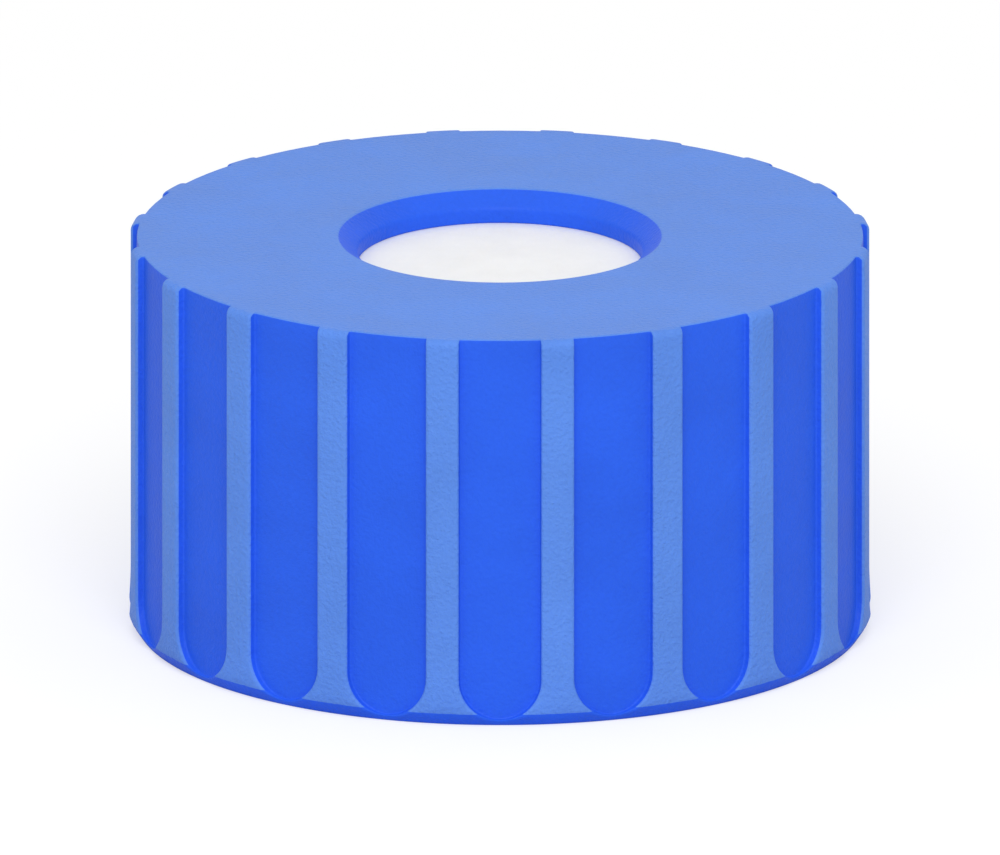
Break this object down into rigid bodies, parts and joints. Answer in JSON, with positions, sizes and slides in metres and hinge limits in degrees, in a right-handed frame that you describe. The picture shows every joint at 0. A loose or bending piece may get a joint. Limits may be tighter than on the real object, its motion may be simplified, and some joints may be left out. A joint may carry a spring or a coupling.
{
  "type": "septum screw cap",
  "caption": "Fluted screw cap with an open needle aperture, an internal neck thread and a flat silicone septum seated under its top plate.",
  "frame": {"origin": "centre of the rim plane that the cap stands on", "axes": "+Z along the thread's axis, from the rim to the top face; the middle of one grip flute faces -Y"},
  "size_m": [0.034, 0.034, 0.0184],
  "materials": {
    "blue_polypropylene": "satin",
    "white_silicone": "matte"
  },
  "bodies": {
    "root": {"screw_cap": "blue_polypropylene", "septum": "white_silicone"}
  },
  "joints": []
}
